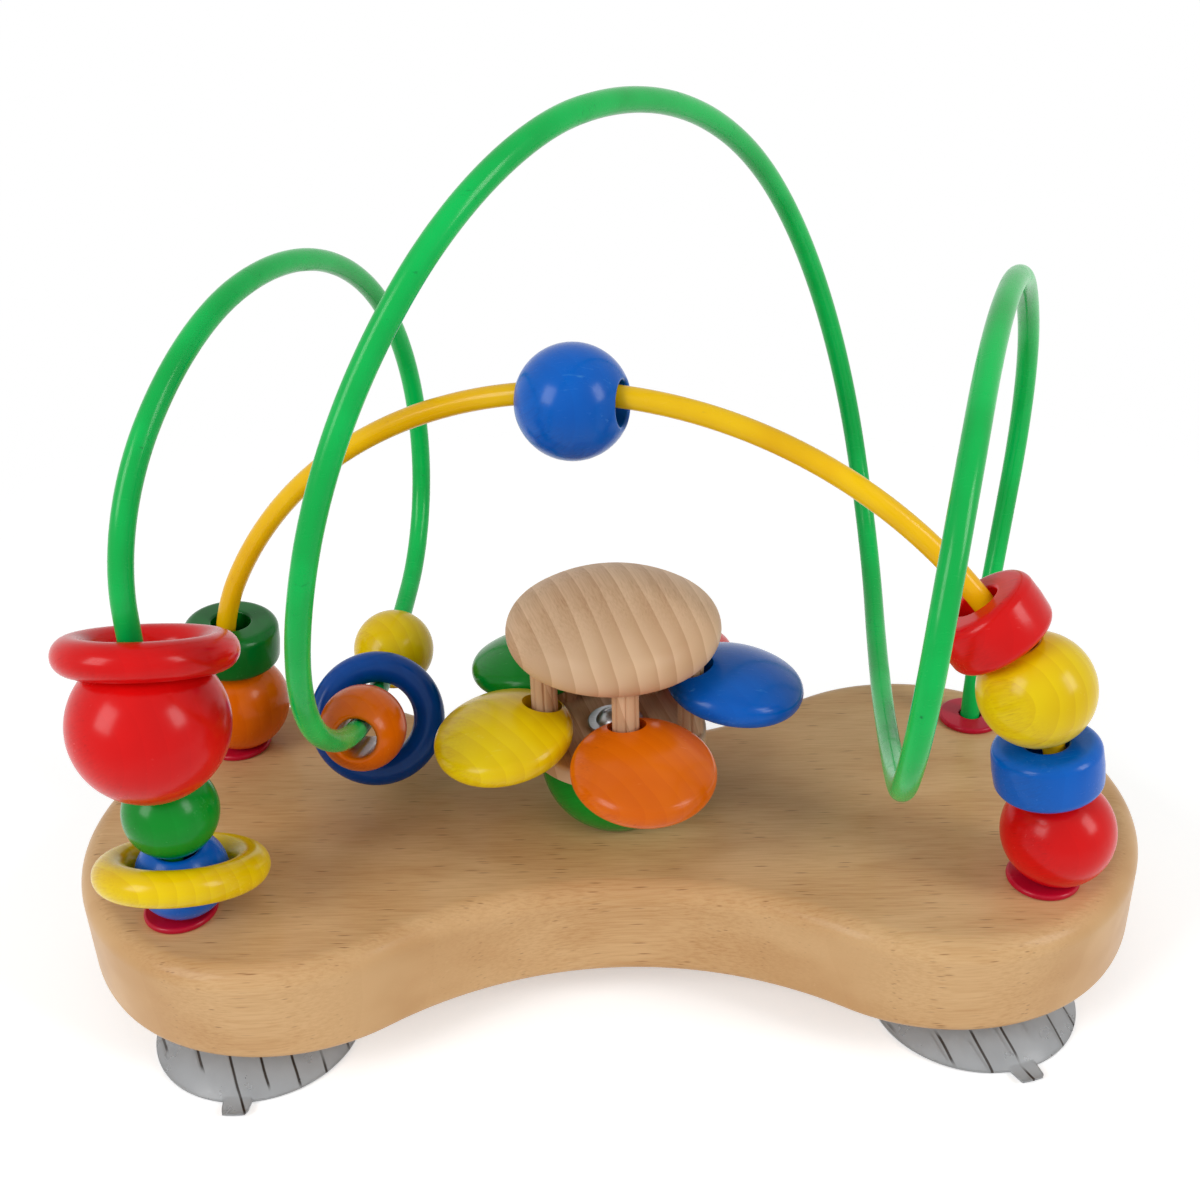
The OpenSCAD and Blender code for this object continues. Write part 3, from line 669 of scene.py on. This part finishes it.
def ball(d):
    """A ball with a bore: the rounding at each mouth touches the bore's wall and the ball."""
    bore = BORE_D / 2
    mouth_z = np.sqrt((d / 2 - MOUTH) ** 2 - (bore + MOUTH) ** 2)
    top = np.degrees(np.arctan2(mouth_z, bore + MOUTH))
    outside = arc((0, 0), d / 2, -top, top, 49)
    lip = arc((bore + MOUTH, mouth_z), MOUTH, top, 180, 9)[1:]
    wall = np.column_stack([np.full(5, bore), np.linspace(mouth_z, -mouth_z, 7)[1:-1]])
    return turned(np.vstack([outside, lip, wall, lip[::-1] * (1, -1)]))


def barrel():
    """A short drum: flat ends, rounded outer edges and softened mouths."""
    r, h, q, bore = BARREL_D / 2, BARREL_H / 2, BARREL_ROUND, BORE_D / 2
    upper = np.vstack([[[r + 0.15, 0]], arc((r - q, h - q), q, 6, 90, 13),
                       arc((bore + MOUTH, h - MOUTH), MOUTH, 90, 180, 9)])
    return turned(np.vstack([upper, upper[:0:-1] * (1, -1)]))


def ring(radius, tube):
    """A circle carried round an axis at some distance."""
    return turned(arc((radius, 0), tube / 2, 0, 360, 49)[:-1], 128)


# %% Places on the wires
CLEAR, WASHER_H, SNUG, EASE = 0.3, 1.6, 0.6, 0.3
YELLOW_GAP, RED_GAP, GREEN_GAP = 1.15, 0.85, 1.1
RING_LEAN, RED_RING_R, RING_PLAY, HOOP_PLAY = 22, 14.1, 0.5, 0.2
SLACK = (BORE_D - WIRE_D) / 2 - CLEAR


def seat(d):
    """Half the height of a ball between its bore's mouths."""
    return np.sqrt(d * d - BORE_D ** 2) / 2


def at(wire, distance):
    """Point and heading at a distance above the board along a wire; a negative distance
    counts from the wire's other end, with the heading turned round."""
    points, headings, run = wire
    s = STUB + distance if distance > 0 else run[-1] - STUB + distance
    place, turn = (np.array([np.interp(s, run, column) for column in rows.T]) for rows in (points, headings))
    return place, unit(turn) * np.sign(distance)


def beside(where, v):
    """A place moved aside by the part of v that is square to the wire."""
    p, t = where
    return p + v - t * (v @ t), t


def hung(where, give):
    """A place let down until the bore rests on the wire, but for a small gap."""
    side = unit(DOWN - where[1] * (DOWN @ where[1]))
    return where[0] + (SLACK - give) * side, where[1]


X = np.array([1.0, 0, 0])
small, medium, large = seat(SMALL_D), seat(MEDIUM_D), seat(LARGE_D)
blue_s = WASHER_H + CLEAR + SNUG + small
green_s = blue_s + 2 * small + CLEAR
red_s = green_s + small + large + CLEAR
left_blue = beside(at(green, blue_s), (SLACK - EASE) * X)
left_green = beside(at(green, green_s), (SLACK - EASE) * X)
left_red = beside(at(green, red_s), SLACK * np.array([0.6, -0.8, 0]))
foot_s = WASHER_H + CLEAR + medium
barrel_s = foot_s + medium + BARREL_H / 2 + SNUG
yellow_s = barrel_s + BARREL_H / 2 + medium + YELLOW_GAP
top_s = yellow_s + medium + BARREL_H / 2 + RED_GAP
back_barrel = beside(at(yellow, foot_s + medium + BARREL_H / 2 + GREEN_GAP), (SLACK - EASE) * X)
tilt = np.radians(RING_LEAN)
lean = unit([0.03, np.sin(tilt), np.cos(tilt)])
on_blue_r, on_red_r = SMALL_D / 2 + CLEAR + RING_PLAY + RING_TUBE / 2, RED_RING_R
on_red_up = np.sqrt((LARGE_D / 2 + CLEAR + RING_TUBE / 2) ** 2 - on_red_r ** 2)
hoop_r, hoop_axis = (HOOP_D - HOOP_TUBE) / 2, heading(-80, 32)
TROUGH_YELLOW, TROUGH_HOOP, TROUGH_ORANGE = 334.5, 358, 372.5
hoop_p, hoop_t = at(green, TROUGH_HOOP)
hoop_up = unit(UP - hoop_axis * hoop_axis[2])
hoop_hold = np.linalg.norm(hoop_up - hoop_t * (hoop_up @ hoop_t))
hoop_drop = hoop_r - HOOP_PLAY - (HOOP_TUBE / 2 + WIRE_D / 2 + CLEAR) / hoop_hold
print("beads from", round(blue_s, 1), "to", round(red_s, 1), "mm up the left leg")

# %% Beads in place
BEADS = {
    "left_blue_ball": (ball(SMALL_D), left_blue, "blue_paint"),
    "left_yellow_ring": (ring(on_blue_r, RING_TUBE), (left_blue[0] + lean, lean), "yellow_paint"),
    "left_green_ball": (ball(SMALL_D), left_green, "green_paint"),
    "left_red_ball": (ball(LARGE_D), left_red, "red_paint"),
    "left_red_ring": (ring(on_red_r, RING_TUBE), (left_red[0] + on_red_up * lean, lean), "red_paint"),
    "trough_yellow_ball": (ball(SMALL_D), hung(at(green, TROUGH_YELLOW), SNUG), "yellow_paint"),
    "trough_blue_ring": (ring(hoop_r, HOOP_TUBE), (hoop_p - hoop_drop * hoop_up, hoop_axis), "navy_paint"),
    "trough_orange_ball": (ball(SMALL_D), hung(at(green, TROUGH_ORANGE), SNUG), "orange_paint"),
    "back_orange_ball": (ball(MEDIUM_D), beside(at(yellow, foot_s), SLACK * X), "orange_paint"),
    "back_green_barrel": (barrel(), (back_barrel[0], back_barrel[1] + UP), "dark_green_paint"),
    "top_blue_ball": (ball(MEDIUM_D), hung(at(yellow, yellow[2][-1] / 2 - STUB - 5.6), 0), "blue_paint"),
    "right_red_ball": (ball(MEDIUM_D), beside(at(yellow, -foot_s), (SLACK - 0.2) * X), "red_paint"),
    "right_blue_barrel": (barrel(), beside(at(yellow, -barrel_s), (EASE - SLACK) * X), "blue_paint"),
    "right_yellow_ball": (ball(MEDIUM_D), at(yellow, -yellow_s), "yellow_paint"),
    "right_red_barrel": (barrel(), beside(at(yellow, -top_s), np.array([-0.7, 0, -0.8])), "red_paint"),
}
for name, (shape, (place, axis), slot) in BEADS.items():
    piece(name, put(shape, place + DECK * UP, axis), slot, name, closed=True)

# %% [markdown]
# ## Washers
# A thin red plastic washer lies round each wire where it enters the board. Its edge is
# rounded like a coin's, so the profile is a flat slab with round ends and a hole.

# %% Washers
WASHER_D, WASHER_PLAY, WASHER_ROUND = 16, 0.4, 0.72


def slab(inner, outer, h, q):
    """Half a section from an inner to an outer radius, with round outer edges."""
    rim = np.vstack([arc((outer - q, q), q, -90, 0, 9), arc((outer - q, h - q), q, 0, 90, 9)])
    bore = [[inner, h - 0.2], [inner, 0.2]] if inner else [[0, h], [0, 0]]
    start = [[inner + 0.2, 0]] if inner else []
    end = [[inner + 0.2, h]] if inner else []
    return np.array([*start, *rim, *end, *bore])


CORNERS = {"front_left": (-1, -1), "front_right": (1, -1), "back_left": (-1, 1), "back_right": (1, 1)}
flange = turned(slab(WIRE_D / 2 + WASHER_PLAY, WASHER_D / 2, WASHER_H, WASHER_ROUND), 64)
for name, (x, y) in CORNERS.items():
    place = np.array([x * HOLE_X, y * HOLE_Y, DECK])
    piece("washer_" + name, flange + place, "crimson_plastic", "base", closed=True)

# %% [markdown]
# ## The spinner
# A green half ball is screwed to the board and carries a disc with five fluted pegs. A
# petal hangs loosely on each peg, and a domed cap of bare wood closes the top. Cap and
# petals are lenses: two shallow arcs that run into a round rim. A petal's hole is near its
# rim, so its grid runs along rays from that hole instead of round its middle.

# %% Post, disc and cap
SPINNER_X, FOOT_D, FOOT_H, DISC_D, DISC_H, SCREW_D = 2, 35.6, 18.8, 42, 4.5, 4
CAP_D, CAP_H, CAP_GAP, PEG_D, PEG_R, PEG_IN = 48.4, 23.6, 25.8, 6, 17.5, 4
FOOT_OVER, DISC_ROUND = 4, 1.2
DISC_Z = FOOT_H + CLEAR
CAP_Z = DISC_Z + DISC_H + CAP_GAP
post = np.array([SPINNER_X, 0, DECK])


def lens_arcs(d, h):
    """Rim radius, rim centre, arc radius and the angle at which the arc meets the rim."""
    q = h / 4
    a = d / 2 - q
    r = (a * a + h * h / 4 - q * q) / (h - 2 * q)
    return q, a, r, np.degrees(np.arctan2(r - h / 2, a))


def whole_lens(d, h):
    """A lens turned round its middle, from its top to its bottom."""
    q, a, r, meet = lens_arcs(d, h)
    upper = arc((0, h / 2 - r), r, 90, meet, 40)
    rim = arc((a, 0), q, meet, -meet, 33)[1:-1]
    return turned(np.vstack([upper, rim, upper[::-1] * (1, -1)]), 128)


ball_z, half = FOOT_H - FOOT_OVER, FOOT_D / 2
low_a = np.degrees(np.arcsin(-ball_z / half))
top_a = np.degrees(np.arcsin((FOOT_H - ball_z) / half))
foot_profile = np.vstack([[[0, 0]], arc((0, ball_z), half, low_a, top_a, 40), [[0, FOOT_H]]])
piece("spinner_foot", turned(foot_profile) + post, "green_paint", "base")
disc = turned(slab(0, DISC_D / 2, DISC_H, DISC_ROUND)[:-1][::-1], 128)
disc = np.concatenate([disc, np.broadcast_to([0, 0, 0.0], (1, *disc.shape[1:]))])
piece("spinner_disc", disc + post + DISC_Z * UP, "pale_beech", "spinner")
piece("spinner_cap", whole_lens(CAP_D, CAP_H) + post + CAP_Z * UP, "pale_beech", "spinner")

# %% Pegs
PEGS = {"yellow": 204, "orange": 276, "blue": 348, "red": 60, "green": 132}
FLUTES, FLUTE_DEEP = 8, 0.4


def peg(low, high):
    """A rod whose radius dips in eight narrow flutes: r = R - deep * max(0, cos 8a) ** 4."""
    a = np.linspace(0, 2 * np.pi, 128, endpoint=False)
    r = PEG_D / 2 - FLUTE_DEEP * np.maximum(0, np.cos(FLUTES * a)) ** 4
    z = np.array([low, low, *np.linspace(low, high, 24)[1:-1], high, high])[:, None]
    grow = np.array([0, *np.ones(len(z) - 2), 0])[:, None]
    return np.stack([grow * r * np.cos(a), grow * r * np.sin(a), z + 0 * a], axis=-1)


for name, angle in PEGS.items():
    place = post + PEG_R * heading(angle, 0)
    piece("peg_" + name, peg(DISC_Z + 1, CAP_Z - PEG_IN) + place, "pale_beech", "spinner")

# %% Petals
PETAL_D, PETAL_H, PETAL_HOLE, PETAL_OFF, PETAL_LEAN, PETAL_GAP = 31.6, 14, 8.6, 10.4, 8, 5.1
PETAL_Z = DISC_Z + DISC_H + PETAL_GAP


def petal():
    """A lens on rays from its hole: the height is that of the lens at each point's distance
    from its middle, and a sine packs the points towards the rim, where it turns down."""
    q, a, r, meet = lens_arcs(PETAL_D, PETAL_H)
    ray = np.linspace(0, 2 * np.pi, 128, endpoint=False)
    hole, outer = PETAL_HOLE / 2, PETAL_D / 2
    reach = PETAL_OFF * np.cos(ray) + np.sqrt(outer ** 2 - (PETAL_OFF * np.sin(ray)) ** 2)
    share = np.sin(np.linspace(0, np.pi / 2, 40))[:, None]
    rho = hole + (reach - hole) * share
    x, y = rho * np.cos(ray) - PETAL_OFF, rho * np.sin(ray)
    far = np.minimum(np.hypot(x, y), outer)
    on_rim = np.sqrt(np.maximum(q ** 2 - (far - a) ** 2, 0))
    on_face = PETAL_H / 2 - r + np.sqrt(r ** 2 - far ** 2)
    z = np.where(far > a + q * np.cos(np.radians(meet)), on_rim, on_face)
    top = np.stack([x, y, z], axis=-1)
    return np.concatenate([top, top[-2::-1] * (1, 1, -1)])


SWUNG = {"yellow": 0, "orange": 13, "blue": 21, "red": 0, "green": 0}
tip = np.radians(PETAL_LEAN)
middle = {name: PEG_R * heading(angle, 0) + PETAL_OFF * np.cos(tip) * heading(angle + SWUNG[name], 0)
          for name, angle in PEGS.items()}
lap = np.linalg.norm(middle["blue"] - middle["red"]) - (PETAL_D - PETAL_H / 2)
RAISED = {"orange": CLEAR, "blue": np.sqrt((PETAL_H / 2 + 2 * CLEAR) ** 2 - lap ** 2)}
for name, angle in PEGS.items():
    out = heading(angle + SWUNG[name], 0)
    axis = np.cos(tip) * UP + np.sin(tip) * out
    along = np.cos(tip) * out - np.sin(tip) * UP
    place = post + middle[name] + (PETAL_Z + RAISED.get(name, 0)) * UP
    shape = petal() @ np.stack([along, np.cross(axis, along), axis]) + place
    piece("petal_" + name, shape, name + "_paint", "petal_" + name, closed=True)
print("blue petal raised by", round(RAISED["blue"], 2), "mm")

# %% Spindle washer and screw
SLOT_W, SLOT_DEEP, SLOT_REACH, SCREW_IN = 0.5, 0.8, 2.8, 14
PLATE_D, PLATE_H, PLATE_ROUND = 13, 1.0, 0.25
plate = turned(slab(SCREW_D / 2 + 0.05, PLATE_D / 2, PLATE_H, PLATE_ROUND), 64)
piece("spindle_washer", plate + post + (DISC_Z + DISC_H + CLEAR) * UP, "steel", "base", closed=True)


def screw_head():
    """A shallow dome with a cross sunk into it: along the cross's arms the height drops."""
    dome = arc((0, -2), 5, 90, np.degrees(np.arcsin(0.4)), 60)
    r, z = dome[:, :1], dome[:, 1:]
    a = np.linspace(0, 2 * np.pi, 160, endpoint=False)
    off = np.minimum(np.abs(r * np.sin(a)), np.abs(r * np.cos(a)))
    sunk = np.clip((SLOT_W - off) / 0.25, 0, 1) * np.clip((SLOT_REACH - r) / 0.3, 0, 1)
    top = np.stack([r * np.cos(a), r * np.sin(a), z - SLOT_DEEP * sunk], axis=-1)
    point = -DISC_H - CLEAR - DISC_Z - SCREW_IN
    shank = np.array([[SCREW_D / 2, 0], [SCREW_D / 2, point + 1], [0, point]])
    return np.concatenate([top, turned(shank, 160)])


piece("spindle_screw", screw_head() + post + (DISC_Z + DISC_H + CLEAR + PLATE_H) * UP, "steel", "base")

# %% [markdown]
# ## Suction cups
# Four clear cups hold the toy to a table. Each is a shallow bell with a thin lip, a boss
# under the board, and a tongue on the lip to pull it loose. The bell is a profile carried
# round, and the tongue is the same surface drawn outwards over a few degrees of the lip.

# %% Cups
CUP_D, STUD_D, TAB_W, TAB_OUT = 47, 8, 5.2, 4.0
CUPS = {"back_right": (82.5, 32, -75), "front_right": (82.5, -32, -75),
        "back_left": (-82.5, 32, 90), "front_left": (-82.5, -32, -92)}


def cup(tab_turn):
    """Inner arc, lip, outer arc, boss and stud; the lip's radius grows by a smooth plateau
    where the tongue is."""
    out_h, in_h, in_a = CUP_H - 2, CUP_H * 0.45, CUP_D / 2 - 1.4
    out_r = ((CUP_D / 2) ** 2 + (out_h - 0.8) ** 2) / (2 * (out_h - 0.8))
    in_r = (in_a ** 2 + in_h ** 2) / (2 * in_h)
    boss = STUD_D / 2 + 3
    inner = arc((0, in_h - in_r), in_r, 90, np.degrees(np.arcsin((in_r - in_h) / in_r)), 30)
    outer = arc((0, out_h - out_r), out_r, np.degrees(np.arccos(CUP_D / 2 / out_r)),
                np.degrees(np.arccos((boss + 1) / out_r)), 30)
    lip = np.array([[CUP_D / 2 - 0.9, 0], [CUP_D / 2 - 0.25, 0.1], [CUP_D / 2, 0.35]])
    neck_z = outer[-1, 1]
    neck = np.array([[boss + 0.3, neck_z + 0.25], [boss, neck_z + 0.9], [boss, CUP_H]])
    stud = np.array([[STUD_D / 2, CUP_H], [STUD_D / 2, CUP_H + 9], [0, CUP_H + 9]])
    profile = np.vstack([inner, lip, outer, neck, stud])
    a = np.linspace(0, 2 * np.pi, 256, endpoint=False)
    away = np.abs((np.degrees(a) - tab_turn + 180) % 360 - 180) * np.pi / 180 * CUP_D / 2
    plateau = np.clip((TAB_W / 2 + 0.5 - away) / 0.8, 0, 1)
    plateau = plateau ** 2 * (3 - 2 * plateau)
    drawn = np.zeros(len(profile))
    drawn[len(inner):len(inner) + 4] = 0.94, 0.99, 1, 0.98
    r = profile[:, :1] + TAB_OUT * drawn[:, None] * plateau
    lift = 0.5 * (drawn > 0.97)[:, None] * plateau
    return np.stack([r * np.cos(a), r * np.sin(a), profile[:, 1:] + lift], axis=-1)


for name, (x, y, tab_turn) in CUPS.items():
    piece("cup_" + name, cup(tab_turn) + (x, y, 0), "clear_rubber", "base")
